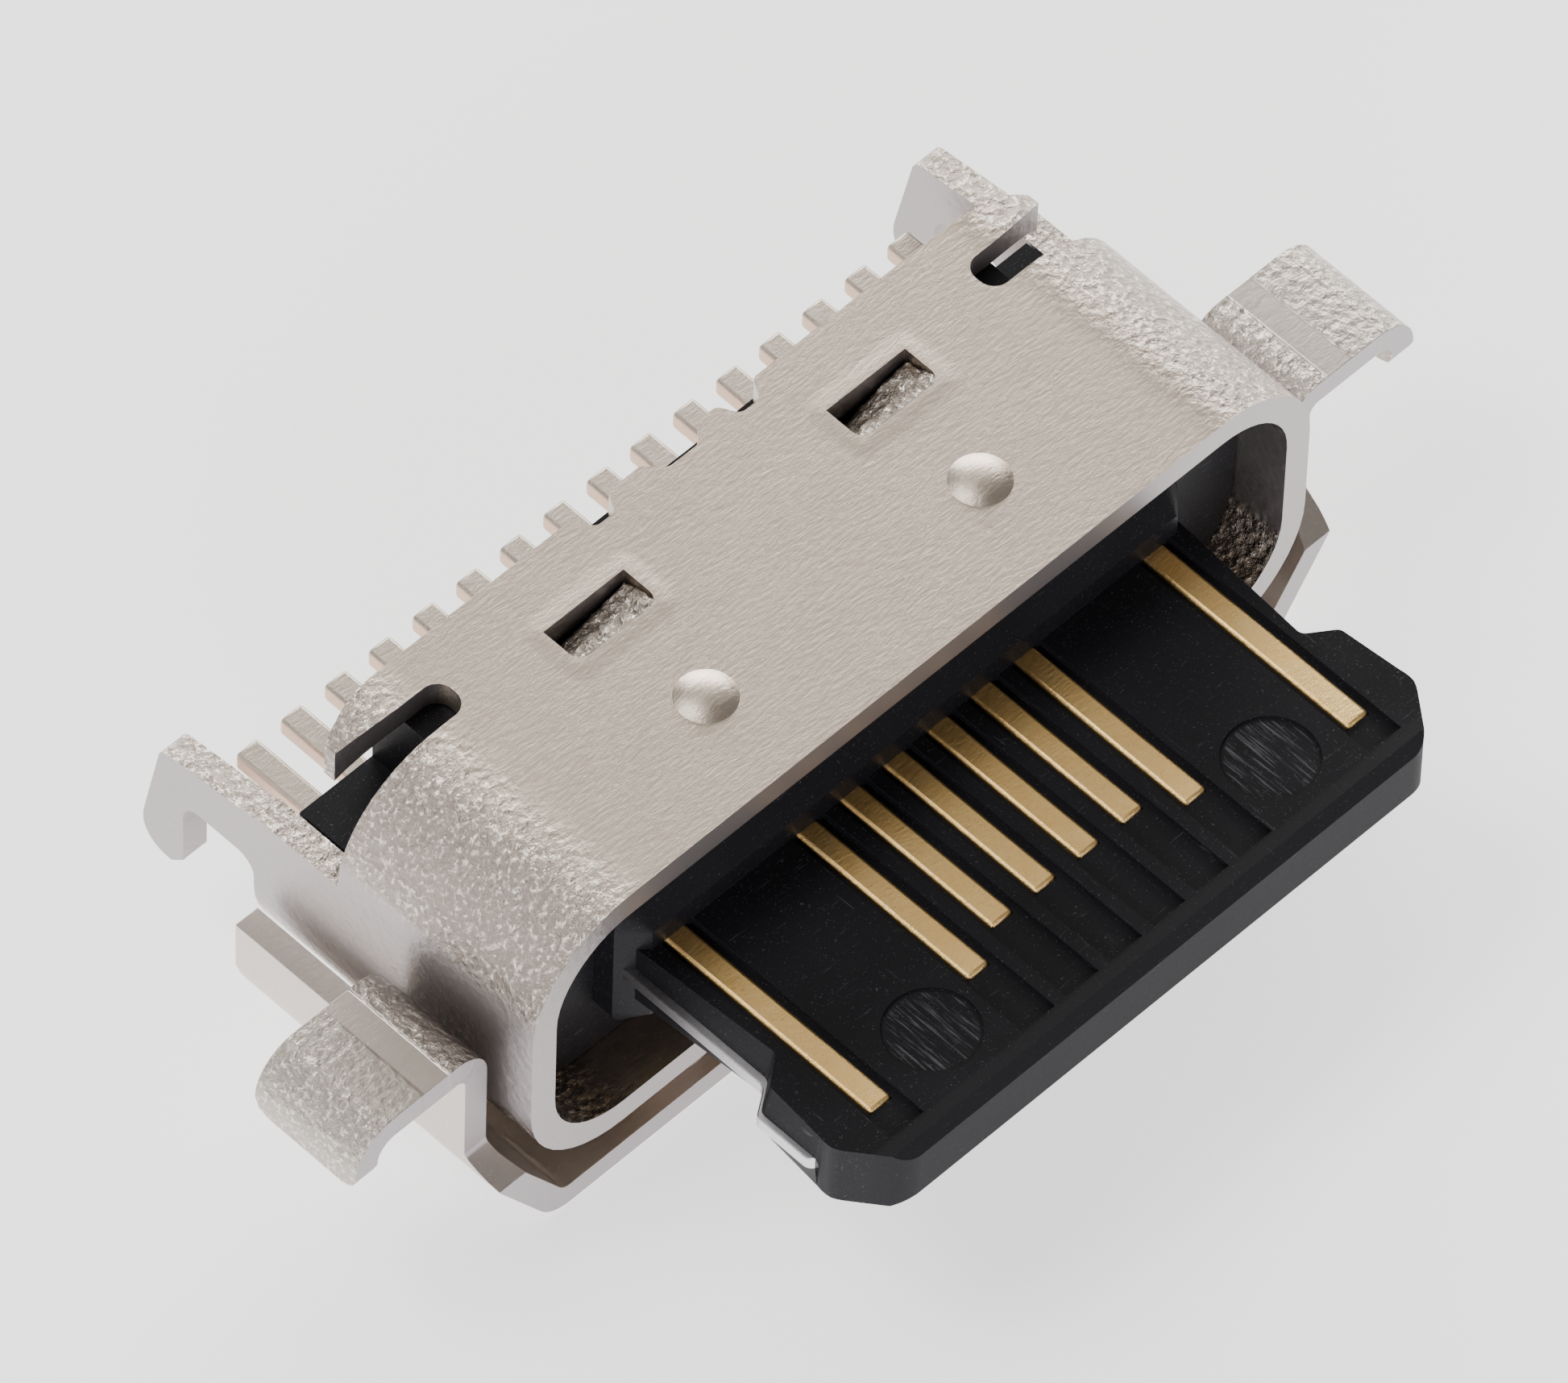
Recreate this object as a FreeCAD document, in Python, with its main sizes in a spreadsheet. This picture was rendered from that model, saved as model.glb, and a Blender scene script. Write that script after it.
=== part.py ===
# Charging socket of a phone: a short steel mouth with a black tongue, two rows of contacts
# and one row of solder tails. Millimetres. X runs along the mouth, Z is up, and the mouth
# faces -Y. The origin is the centre of the mouth, in the plane of the steel's front edge.
import FreeCAD, Part
import math
import os

import Sketcher

doc = FreeCAD.newDocument("ChargingSocket")
sheet = doc.addObject("Spreadsheet::Sheet", "Sizes")


class Size:
    # A number together with the cell expression that it comes from, so that one sum gives
    # both the first shape of a sketch and what its dimension is bound to.
    def __init__(self, value, text):
        self.value = value
        self.text = text

    def __add__(self, other):
        other = asSize(other)
        return Size(self.value + other.value, f"({self.text} + {other.text})")

    def __sub__(self, other):
        other = asSize(other)
        return Size(self.value - other.value, f"({self.text} - {other.text})")

    def __mul__(self, other):
        other = asSize(other)
        return Size(self.value * other.value, f"({self.text} * {other.text})")

    def __truediv__(self, other):
        other = asSize(other)
        return Size(self.value / other.value, f"({self.text} / {other.text})")

    def __radd__(self, other):
        return asSize(other) + self

    def __rsub__(self, other):
        return asSize(other) - self

    def __rmul__(self, other):
        return asSize(other) * self

    def __neg__(self):
        return Size(-self.value, f"(-1 * {self.text})")


def asSize(number):
    return number if isinstance(number, Size) else Size(float(number), f"({number})")


def smaller(first, second):
    # a corner's radius is limited by the wall that it stands on
    first, second = asSize(first), asSize(second)
    return Size(min(first.value, second.value), f"min({first.text}; {second.text})")


def tangent(angle):
    return Size(math.tan(math.radians(angle.value)), f"tan({angle.text})")


cellCount = 0


def cell(name, value):
    # one driving dimension in the sheet, under its own name
    global cellCount
    cellCount += 1
    sheet.set(f"A{cellCount}", name)
    sheet.set(f"B{cellCount}", str(value))
    sheet.setAlias(f"B{cellCount}", name)
    return Size(float(value), f"Sizes.{name}")


# steel shell
mouthWide = cell("mouthWide", 8.40)          # clear width of the mouth
mouthHigh = cell("mouthHigh", 2.60)          # clear height of the mouth
mouthRound = cell("mouthRound", 0.80)        # corner radius inside the mouth
shellWall = cell("shellWall", 0.27)          # sheet of the shell
shellDeep = cell("shellDeep", 3.23)          # front edge to the back of the floor and sides
plateDeep = cell("plateDeep", 3.00)          # front edge to the back of the top plate
slotFront = cell("slotFront", 2.25)          # front side of the slots at the back corners
slotWide = cell("slotWide", 0.37)
slotReach = cell("slotReach", 3.00)          # middle of the shell to the slot's round end
slotRound = cell("slotRound", 0.16)
cornerReach = cell("cornerReach", 4.03)      # middle to the end of the curled back corner
armTop = cell("armTop", 0.45)                # height of the side arms' upper edge
armDrop = cell("armDrop", 0.18)              # fall of that edge along the arm
armReach = cell("armReach", 1.30)            # back of the shell to the back of the arms
hookFront = cell("hookFront", 0.47)          # back of the arms to the hook's front side
armRound = cell("armRound", 0.28)            # lower back corner of the arms
hookLow = cell("hookLow", -1.14)             # lowest point of the hook
archTop = cell("archTop", -0.20)             # top of the hollow under the arm
notchShift = cell("notchShift", -0.08)       # middle of the back tab, left of the middle
notchPitch = cell("notchPitch", 0.83)        # middle of the tab to a notch beside it
notchWide = cell("notchWide", 0.42)
notchDeep = cell("notchDeep", 0.19)
dipWide = cell("dipWide", 0.66)              # shallow dip in the middle of the tab
dipDeep = cell("dipDeep", 0.17)
notchRound = cell("notchRound", 0.08)
dimpleOff = cell("dimpleOff", 1.57)          # middle to each raised dimple
dimpleBack = cell("dimpleBack", 0.98)
dimpleWide = cell("dimpleWide", 0.55)
dimpleHigh = cell("dimpleHigh", 0.08)
windowNear = cell("windowNear", 1.16)        # middle to the near end of a window
windowFar = cell("windowFar", 2.07)
windowFront = cell("windowFront", 1.93)
windowBack = cell("windowBack", 2.35)
windowRound = cell("windowRound", 0.12)
tabSide = cell("tabSide", 0.07)              # clearance each side of the tab in a window
tabDrop = cell("tabDrop", 0.42)              # how far the tab is pushed down

# steel bracket
bracketWall = cell("bracketWall", 0.25)
bracketGap = cell("bracketGap", 0.15)        # shell's side to the bracket's side
floorGap = cell("floorGap", 0.33)            # shell's floor to the bracket's floor
bracketSlope = cell("bracketSlope", 33)      # degrees, lower side wall from upright
slopeTop = cell("slopeTop", -1.06)           # height at which the side wall slopes inwards
slopeRound = cell("slopeRound", 0.20)
floorRound = cell("floorRound", 0.15)
floorDeep = cell("floorDeep", 2.40)          # bracket's front to the back of its floor
legDeep = cell("legDeep", 3.03)              # to the back of the side legs
legTop = cell("legTop", -0.48)
legLow = cell("legLow", -1.42)
legRound = cell("legRound", 0.38)
wingFront = cell("wingFront", 0.36)
wingBack = cell("wingBack", 1.53)
wingTop = cell("wingTop", 0.33)
wingReach = cell("wingReach", 1.48)          # bracket's side to the outer face of the wing's foot
wingBend = cell("wingBend", 0.10)            # inside radius where the wing leaves the wall
footBend = cell("footBend", 0.20)            # inside radius where the wing turns down
footRound = cell("footRound", 0.16)
boardLevel = cell("boardLevel", -0.30)       # height of the board that the feet stand on
weldOff = cell("weldOff", 2.40)              # middle to each weld boss in the floor
weldFront = cell("weldFront", 0.55)
weldBack = cell("weldBack", 1.85)
weldWide = cell("weldWide", 0.80)

# black moulding
tongueThick = cell("tongueThick", 0.70)
tongueTip = cell("tongueTip", -2.80)
tongueHalf = cell("tongueHalf", 3.38)        # middle to the side, at the latching bump
recessHalf = cell("recessHalf", 3.11)        # the same in the latch recess behind the bump
recessEnd = cell("recessEnd", -1.33)
bumpStart = cell("bumpStart", -1.52)
bumpEnd = cell("bumpEnd", -2.28)
tipHalf = cell("tipHalf", 2.98)
tipRound = cell("tipRound", 0.30)
bumpRound = cell("bumpRound", 0.42)
recessRound = cell("recessRound", 0.09)
lipBevel = cell("lipBevel", 0.11)
collarFront = cell("collarFront", 0.10)
collarHalf = cell("collarHalf", 3.24)
collarHigh = cell("collarHigh", 0.80)        # half of the collar's height
collarRound = cell("collarRound", 0.25)
collarBevel = cell("collarBevel", 0.22)
blockFront = cell("blockFront", 0.55)
blockClear = cell("blockClear", 0.02)        # moulding to the steel round it
ledgeHalf = cell("ledgeHalf", 3.36)          # middle to the ledge under the curled corner
grooveWide = cell("grooveWide", 0.37)
grooveDeep = cell("grooveDeep", 0.06)
grooveEnd = cell("grooveEnd", -2.55)
markOff = cell("markOff", 1.95)              # middle to each round ejector mark
markBack = cell("markBack", -2.03)
markWide = cell("markWide", 0.84)
markDeep = cell("markDeep", 0.025)
tabPocket = cell("tabPocket", 0.06)          # room round the shell's tabs in the moulding

# latch plate between the two rows
plateThick = cell("plateThick", 0.14)
latchHalf = cell("latchHalf", 3.18)
latchBump = cell("latchBump", 3.43)
latchFront = cell("latchFront", -2.45)
latchNose = cell("latchNose", -2.12)
latchNoseHalf = cell("latchNoseHalf", 2.75)
latchBack = cell("latchBack", 1.90)

# terminals
pitch = cell("pitch", 0.50)
powerPlace = cell("powerPlace", 2.5)         # place of the second power contact, in pitches
groundPlace = cell("groundPlace", 5.5)       # place of the outermost contact, in pitches
contactWide = cell("contactWide", 0.25)
contactSunk = cell("contactSunk", 0.02)      # contact's face below the tongue's
signalEnd = cell("signalEnd", -1.64)
powerEnd = cell("powerEnd", -1.87)
groundEnd = cell("groundEnd", -2.25)
strip = cell("strip", 0.20)                  # sheet of the terminals
jogStart = cell("jogStart", 0.80)
jogEnd = cell("jogEnd", 2.10)
dropStart = cell("dropStart", 2.35)
dropEnd = cell("dropEnd", 2.80)
dropBend = cell("dropBend", 0.08)
tailWide = cell("tailWide", 0.23)
tailEnd = cell("tailEnd", 4.07)
insertFront = cell("insertFront", 0.72)
insertBack = cell("insertBack", 2.18)
insertHalf = cell("insertHalf", 3.98)
insertThin = cell("insertThin", 0.10)        # wall of an insert below its terminals
insertHigh = cell("insertHigh", 0.60)

doc.recompute()

beyond = 1.0         # how far a cutting outline passes the metal that it trims
planeSign = {"XY_Plane": 1, "XZ_Plane": -1, "YZ_Plane": 1}


def newBody(label):
    body = doc.addObject("PartDesign::Body", label)
    body.Label = label
    return body


def bind(item, path, size):
    if isinstance(size, Size):
        item.setExpression(path, size.text)


def numberOf(size):
    return asSize(size).value


def addLoop(sketch, corners):
    # One closed outline. A corner is (across, up) or (across, up, radius), and each of its
    # numbers is tied to the sheet. A rounded corner keeps its sharp point as a reference.
    count = len(corners)
    points = [FreeCAD.Vector(numberOf(c[0]), numberOf(c[1]), 0) for c in corners]
    rounds = [c[2] if len(c) > 2 else 0 for c in corners]
    entries = []
    exits = []
    arcs = []
    for i in range(count):
        here = points[i]
        back = (points[i - 1] - here).normalize()
        ahead = (points[(i + 1) % count] - here).normalize()
        radius = numberOf(rounds[i])
        if radius == 0:
            entries.append(here)
            exits.append(here)
            arcs.append(None)
            continue
        half = back.getAngle(ahead) / 2
        run = radius / math.tan(half)
        entry = here + back * run
        leave = here + ahead * run
        centre = here + (back + ahead).normalize() * (radius / math.sin(half))
        left = back.cross(ahead).z < 0
        first, last = (entry, leave) if left else (leave, entry)
        startAngle = math.atan2(first.y - centre.y, first.x - centre.x)
        endAngle = math.atan2(last.y - centre.y, last.x - centre.x)
        if endAngle < startAngle:
            endAngle += 2 * math.pi
        circle = Part.Circle(centre, FreeCAD.Vector(0, 0, 1), radius)
        entries.append(entry)
        exits.append(leave)
        arcs.append((Part.ArcOfCircle(circle, startAngle, endAngle), left))
    lines = []
    for i in range(count):
        line = Part.LineSegment(exits[i], entries[(i + 1) % count])
        lines.append(sketch.addGeometry(line, False))
    for i in range(count):
        before = lines[i - 1]
        after = lines[i]
        if arcs[i] is None:
            sketch.addConstraint(Sketcher.Constraint("Coincident", before, 2, after, 1))
            fixed, end = after, 1
        else:
            arc = sketch.addGeometry(arcs[i][0], False)
            entryEnd, exitEnd = (1, 2) if arcs[i][1] else (2, 1)
            sketch.addConstraint(Sketcher.Constraint("Tangent", before, 2, arc, entryEnd))
            sketch.addConstraint(Sketcher.Constraint("Tangent", arc, exitEnd, after, 1))
            held = sketch.addConstraint(Sketcher.Constraint("Radius", arc, numberOf(rounds[i])))
            bind(sketch, f"Constraints[{held}]", rounds[i])
            fixed, end = sketch.addGeometry(Part.Point(points[i]), True), 1
            sketch.addConstraint(Sketcher.Constraint("PointOnObject", fixed, 1, before))
            sketch.addConstraint(Sketcher.Constraint("PointOnObject", fixed, 1, after))
        for kind, place, size in (("DistanceX", points[i].x, corners[i][0]),
                                  ("DistanceY", points[i].y, corners[i][1])):
            held = sketch.addConstraint(Sketcher.Constraint(kind, -1, 1, fixed, end, place))
            bind(sketch, f"Constraints[{held}]", size)


def drawOn(body, name, plane, level, loops):
    sketch = body.newObject("Sketcher::SketchObject", f"{body.Label}_{name}_outline")
    support = [item for item in body.Origin.OriginFeatures if item.Role == plane][0]
    sketch.AttachmentSupport = [(support, "")]
    sketch.MapMode = "FlatFace"
    offset = asSize(level) * planeSign[plane]
    sketch.AttachmentOffset.Base.z = offset.value
    bind(sketch, "AttachmentOffset.Base.z", offset)
    for corners in loops:
        addLoop(sketch, corners)
    return sketch


def build(body, name, plane, low, high, *loops):
    # adds the outline's prism between two levels of the axis that the plane faces
    sketch = drawOn(body, name, plane, low, loops)
    pad = body.newObject("PartDesign::Pad", f"{body.Label}_{name}")
    pad.Profile = sketch
    pad.Reversed = planeSign[plane] < 0
    bind(pad, "Length", asSize(high) - low)
    return pad


def trim(body, name, plane, low, high, *loops):
    # takes the same prism away
    sketch = drawOn(body, name, plane, low, loops)
    pocket = body.newObject("PartDesign::Pocket", f"{body.Label}_{name}")
    pocket.Profile = sketch
    pocket.Reversed = planeSign[plane] > 0
    bind(pocket, "Length", asSize(high) - low)
    return pocket


def roundedBox(halfWide, halfHigh, radius):
    return [(halfWide, -halfHigh, radius), (halfWide, halfHigh, radius),
            (-halfWide, halfHigh, radius), (-halfWide, -halfHigh, radius)]


def sides(side, corners):
    # the same corners on the left (-1) or right (1) of the middle
    return [(corner[0] * side, *corner[1:]) for corner in corners]


def coneAt(body, kind, name, base, wide, narrow, high):
    # a dimple or boss that stands upright: a short cone between two widths
    cone = body.newObject(f"PartDesign::{kind}Cone", f"{body.Label}_{name}")
    for path, size in (("Radius1", wide / 2), ("Radius2", narrow / 2), ("Height", high),
                       ("Placement.Base.x", base[0]), ("Placement.Base.y", base[1]),
                       ("Placement.Base.z", base[2])):
        bind(cone, path, asSize(size))
    return cone


def edgesWhere(feature, wanted):
    # names of the edges whose two ends and middle all pass the test
    doc.recompute()
    names = []
    for number, edge in enumerate(feature.Shape.Edges, 1):
        first, last = edge.ParameterRange
        spots = [edge.valueAt(first + (last - first) * share) for share in (0, 0.5, 1)]
        if all(wanted(spot) for spot in spots):
            names.append(f"Edge{number}")
    return names


def near(first, second):
    return abs(first - numberOf(second)) < 1e-4


innerHalf = mouthWide / 2
innerHigh = mouthHigh / 2
outerHalf = innerHalf + shellWall
outerHigh = innerHigh + shellWall
outerRound = mouthRound + shellWall
slotBack = slotFront + slotWide


def notchCorners(middle, wide, deep):
    # a rounded dip in the back edge of the top plate, from left to right
    floor = wide / 4
    return [(middle - wide / 2, plateDeep, notchRound),
            (middle - floor, plateDeep - deep, notchRound),
            (middle + floor, plateDeep - deep, notchRound),
            (middle + wide / 2, plateDeep, notchRound)]


def makeShell():
    body = newBody("inner_shell")
    build(body, "tube", "XZ_Plane", 0, shellDeep, roundedBox(outerHalf, outerHigh, outerRound))
    trim(body, "mouth", "XZ_Plane", -beyond, shellDeep + beyond,
         roundedBox(innerHalf, innerHigh, mouthRound))
    # above the arms the back edge steps: side wall, round-ended slot, curled corner, notches
    farSide = outerHalf + beyond
    farBack = shellDeep + beyond
    half = [(farSide, slotFront), (slotReach, slotFront, slotRound),
            (slotReach, slotBack, slotRound), (cornerReach, slotBack), (cornerReach, plateDeep)]
    backEdge = sides(-1, half)
    backEdge += notchCorners(notchShift - notchPitch, notchWide, notchDeep)
    backEdge += notchCorners(notchShift * 0, dipWide, dipDeep)
    backEdge += notchCorners(notchShift + notchPitch, notchWide, notchDeep)
    backEdge += list(reversed(half))
    backEdge += [(farSide, farBack), (-farSide, farBack)]
    trim(body, "back_edge", "XY_Plane", armTop, outerHigh + beyond, backEdge)
    # flat arms with a hooked foot, in line with the flat of the sides
    flatLow = mouthRound - innerHigh
    rooted = shellDeep - shellWall
    armBack = shellDeep + armReach
    hook = armBack - hookFront
    archRound = smaller(0.20, (hook - shellDeep) * 0.4)
    arm = [(rooted, armTop), (hook + shellWall, armTop - armDrop, 0.12),
           (armBack, flatLow - shellWall, 0.30),
           (armBack, hookLow, smaller(armRound, (hookFront - shellWall / 2) * 0.85)),
           (hook + shellWall / 2, hookLow, 0.05), (hook, hookLow + shellWall / 2),
           (hook, archTop, archRound), (shellDeep, archTop, archRound), (shellDeep, flatLow),
           (rooted, flatLow)]
    build(body, "left_arm", "YZ_Plane", -outerHalf, -innerHalf, arm)
    build(body, "right_arm", "YZ_Plane", innerHalf, outerHalf, arm)
    for side, word in ((-1, "left"), (1, "right")):
        window = sides(side, [(windowNear, windowBack), (windowFar, windowBack),
                              (windowFar, windowFront, windowRound),
                              (windowNear, windowFront, windowRound)])
        trim(body, f"{word}_window", "XY_Plane", innerHigh - shellWall, outerHigh + beyond, window)
        # the tab cut free on three sides and pushed down from the window's front edge
        reach = windowBack - tabSide
        tab = [(windowFront - shellWall, outerHigh), (windowFront, outerHigh),
               (reach, outerHigh - tabDrop), (reach - shellWall / 2, outerHigh - tabDrop - shellWall / 2),
               (windowFront - shellWall / 2, innerHigh), (windowFront - shellWall, innerHigh)]
        inner, outer = (windowNear + tabSide) * side, (windowFar - tabSide) * side
        low, high = (inner, outer) if side > 0 else (outer, inner)
        build(body, f"{word}_tab", "YZ_Plane", low, high, tab)
        spot = (dimpleOff * side, dimpleBack)
        coneAt(body, "Additive", f"{word}_dimple", (*spot, outerHigh), dimpleWide,
               dimpleWide * 0.55, dimpleHigh)
        coneAt(body, "Subtractive", f"{word}_dimple_inside", (*spot, innerHigh), dimpleWide * 0.7,
               dimpleWide * 0.35, dimpleHigh)
    return body


wallInner = outerHalf + bracketGap
wallOuter = wallInner + bracketWall
floorTop = -(outerHigh + floorGap)
floorLow = floorTop - bracketWall


def makeBracket():
    body = newBody("outer_bracket")
    # the sheet's two faces, offset by its thickness at each bend
    turn = tangent(bracketSlope / 2)
    lean = tangent(bracketSlope)
    turnFloor = tangent((90 - bracketSlope) / 2)
    footX = wallInner - (slopeTop - floorTop) * lean
    wingLow = wingTop - bracketWall
    wingEnd = wallInner + wingReach
    inside = [(wingEnd, boardLevel), (wingEnd, wingTop, footBend + bracketWall),
              (wallInner, wingTop, wingBend + bracketWall), (wallInner, slopeTop, slopeRound),
              (footX, floorTop, floorRound)]
    outside = [(wingEnd - bracketWall, boardLevel),
               (wingEnd - bracketWall, wingLow, footBend),
               (wallOuter, wingLow, wingBend),
               (wallOuter, slopeTop - bracketWall * turn, slopeRound + bracketWall),
               (footX + bracketWall * turnFloor, floorLow, floorRound + bracketWall)]
    section = inside + sides(-1, list(reversed(inside)))
    section += sides(-1, outside) + list(reversed(outside))
    build(body, "sheet", "XZ_Plane", 0, legDeep, section)
    high = wingTop + beyond
    wide = wingEnd + beyond
    # in front of the wings the walls start lower, and their top edge falls towards the mouth
    frontTop = [(-beyond, high), (wingFront, high), (wingFront, slopeTop + 0.06, 0.08),
                (0, slopeTop - 0.16), (-beyond, slopeTop - 0.16)]
    trim(body, "front_step", "YZ_Plane", -wide, wide, frontTop)
    # behind the wings only the legs go on
    backTop = [(wingBack, high), (wingBack, legTop, 0.08), (legDeep, legTop),
               (legDeep + beyond, legTop), (legDeep + beyond, high)]
    trim(body, "back_step", "YZ_Plane", -wide, wide, backTop)
    low = floorLow - beyond
    backLow = [(floorDeep, low), (floorDeep, legLow, 0.10), (legDeep - legRound, legLow),
               (legDeep - legRound * 0.29, legLow + legRound * 0.29), (legDeep, legLow + legRound),
               (legDeep + beyond, legLow + legRound), (legDeep + beyond, low)]
    trim(body, "back_floor", "YZ_Plane", -wide, wide, backLow)
    # rounded lower corners of the two feet
    for word, edge, way in (("front", wingFront, 1), ("back", wingBack, -1)):
        corner = [(edge - way * beyond, boardLevel - beyond),
                  (edge + way * footRound, boardLevel - beyond),
                  (edge + way * footRound, boardLevel),
                  (edge + way * footRound * 0.29, boardLevel + footRound * 0.29),
                  (edge, boardLevel + footRound), (edge - way * beyond, boardLevel + footRound)]
        for side, hand in ((-1, "left"), (1, "right")):
            outer, inner = wide * side, (wingEnd - footBend - bracketWall) * side
            lowX, highX = (inner, outer) if side > 0 else (outer, inner)
            trim(body, f"{hand}_{word}_foot", "YZ_Plane", lowX, highX, corner)
    # weld bosses pressed up out of the floor to meet the shell
    for side, word in ((-1, "left"), (1, "right")):
        for row, back in (("front", weldFront), ("back", weldBack)):
            coneAt(body, "Additive", f"{word}_{row}_boss", (weldOff * side, back, floorTop),
                   weldWide, weldWide * 0.7, floorGap)
    return body


tongueHigh = tongueThick / 2
blockHalf = innerHalf - blockClear
blockHigh = innerHigh - blockClear
contactFace = tongueHigh - contactSunk
places = [place * side for side, row in ((-1, (groundPlace, powerPlace, 1.5, 0.5)),
                                         (1, (0.5, 1.5, powerPlace, groundPlace))) for place in row]
ends = [groundEnd, powerEnd, signalEnd, signalEnd, signalEnd, signalEnd, powerEnd, groundEnd]


def makeMoulding():
    body = newBody("moulding")
    collar = build(body, "collar", "XZ_Plane", collarFront, blockFront + beyond,
                   roundedBox(collarHalf, collarHigh, collarRound))
    bevel = body.newObject("PartDesign::Chamfer", "moulding_collar_bevel")
    bevel.Base = (collar, edgesWhere(collar, lambda spot: near(spot.y, collarFront)
                                     and max(abs(spot.x) / collarHalf.value,
                                             abs(spot.z) / collarHigh.value) > 0.93))
    bind(bevel, "Size", collarBevel)
    build(body, "block", "XZ_Plane", blockFront, plateDeep,
          roundedBox(blockHalf, blockHigh, mouthRound - blockClear))
    half = [(recessHalf, blockFront + beyond), (recessHalf, recessEnd, recessRound),
            (tongueHalf, bumpStart, recessRound), (tongueHalf, bumpEnd, bumpRound),
            (tipHalf, tongueTip, tipRound)]
    tongue = half + sides(-1, list(reversed(half)))
    build(body, "tongue", "XY_Plane", -tongueHigh, tongueHigh, tongue)
    # the lip of the tongue is beveled above and below
    for name, way in (("upper", 1), ("lower", -1)):
        lip = [(tongueTip - beyond, way * (tongueHigh - lipBevel * 0.8)),
               (tongueTip, way * (tongueHigh - lipBevel * 0.8)),
               (tongueTip + lipBevel, way * tongueHigh),
               (tongueTip + lipBevel, way * (tongueHigh + beyond)),
               (tongueTip - beyond, way * (tongueHigh + beyond))]
        trim(body, f"{name}_lip", "YZ_Plane", -tongueHalf, tongueHalf, lip)
    for side, word in ((-1, "left"), (1, "right")):
        ledge = sides(side, [(ledgeHalf, armTop), (blockHalf + beyond, armTop),
                             (blockHalf + beyond, blockHigh + beyond),
                             (ledgeHalf, blockHigh + beyond)])
        trim(body, f"{word}_ledge", "XZ_Plane", slotFront - blockClear, plateDeep + beyond, ledge)
        catch = sides(side, [(windowNear - tabPocket, windowFront - tabPocket - shellWall),
                             (windowFar + tabPocket, windowFront - tabPocket - shellWall),
                             (windowFar + tabPocket, windowBack + tabPocket),
                             (windowNear - tabPocket, windowBack + tabPocket)])
        trim(body, f"{word}_catch", "XY_Plane", outerHigh - tabDrop - shellWall - tabPocket,
             blockHigh + beyond, catch)
    for name, face, way in (("upper", tongueHigh, 1), ("lower", -tongueHigh, -1)):
        grooves = []
        for place in places:
            middle = pitch * place
            grooves.append([(middle - grooveWide / 2, grooveEnd),
                            (middle + grooveWide / 2, grooveEnd),
                            (middle + grooveWide / 2, collarFront),
                            (middle - grooveWide / 2, collarFront)])
        inner, outer = face - way * grooveDeep, face + way * grooveDeep
        low, high = (inner, outer) if way > 0 else (outer, inner)
        trim(body, f"{name}_grooves", "XY_Plane", low, high, *grooves)
        for side, word in ((-1, "left"), (1, "right")):
            mark = body.newObject("PartDesign::SubtractiveCylinder", f"moulding_{name}_{word}_mark")
            for path, size in (("Radius", markWide / 2), ("Height", markDeep * 2),
                               ("Placement.Base.x", markOff * side),
                               ("Placement.Base.y", markBack), ("Placement.Base.z", face - markDeep)):
                bind(mark, path, size)
    return body


def makeLatchPlate():
    body = newBody("mid_plate")
    half = [(latchHalf, latchBack), (latchHalf, recessEnd - 0.02, 0.08),
            (latchBump, bumpStart, 0.08), (latchBump, latchNose, 0.10),
            (latchNoseHalf, latchFront)]
    build(body, "sheet", "XY_Plane", -plateThick / 2, plateThick / 2,
          half + sides(-1, list(reversed(half))))
    return body


def makeProfile(label, faceTop, tailTop):
    # side view of one row of terminals, as wide as the whole row; the strips are cut from it
    body = newBody(label)
    shift = dropBend * (1 if faceTop.value > tailTop.value else -1)
    top = [(groundEnd - beyond, faceTop), (dropStart, faceTop, 0.12), (dropEnd, tailTop, 0.12),
           (tailEnd + beyond, tailTop)]
    low = [(tailEnd + beyond, tailTop - strip), (dropEnd - shift, tailTop - strip, 0.12),
           (dropStart - shift, faceTop - strip, 0.12), (groundEnd - beyond, faceTop - strip)]
    build(body, "side_view", "YZ_Plane", -outerHalf, outerHalf, top + low)
    return body


def makeTerminal(label, profile, place, front, tailPlace):
    # plan of one strip: contact, sideways jog and solder tail, common with the side view
    plan = newBody(f"{label}_plan")
    wide = contactWide / 2
    tail = tailWide / 2
    middle = pitch * place
    back = pitch * tailPlace
    build(plan, "strip", "XY_Plane", -blockHigh, blockHigh,
          [(middle - wide, front), (middle + wide, front), (middle + wide, jogStart),
           (back + tail, jogEnd), (back + tail, tailEnd), (back - tail, tailEnd),
           (back - tail, jogEnd), (middle - wide, jogStart)])
    terminal = doc.addObject("Part::Common", label)
    terminal.Label = label
    terminal.Base = plan
    terminal.Tool = profile
    return terminal


def makeInsert(label, low, high):
    # the small bar that each row of terminals is moulded into first
    body = newBody(f"{label}_bar")
    build(body, "bar", "XY_Plane", low, high,
          [(insertHalf, insertFront), (insertHalf, insertBack), (-insertHalf, insertBack),
           (-insertHalf, insertFront)])
    return body


def subtract(label, base, tools):
    joined = doc.addObject("Part::MultiFuse", f"{label}_tools")
    joined.Shapes = tools
    cut = doc.addObject("Part::Cut", label)
    cut.Label = label
    cut.Base = base
    cut.Tool = joined
    return cut


shell = makeShell()
bracket = makeBracket()
moulding = makeMoulding()
latchPlate = makeLatchPlate()

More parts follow.
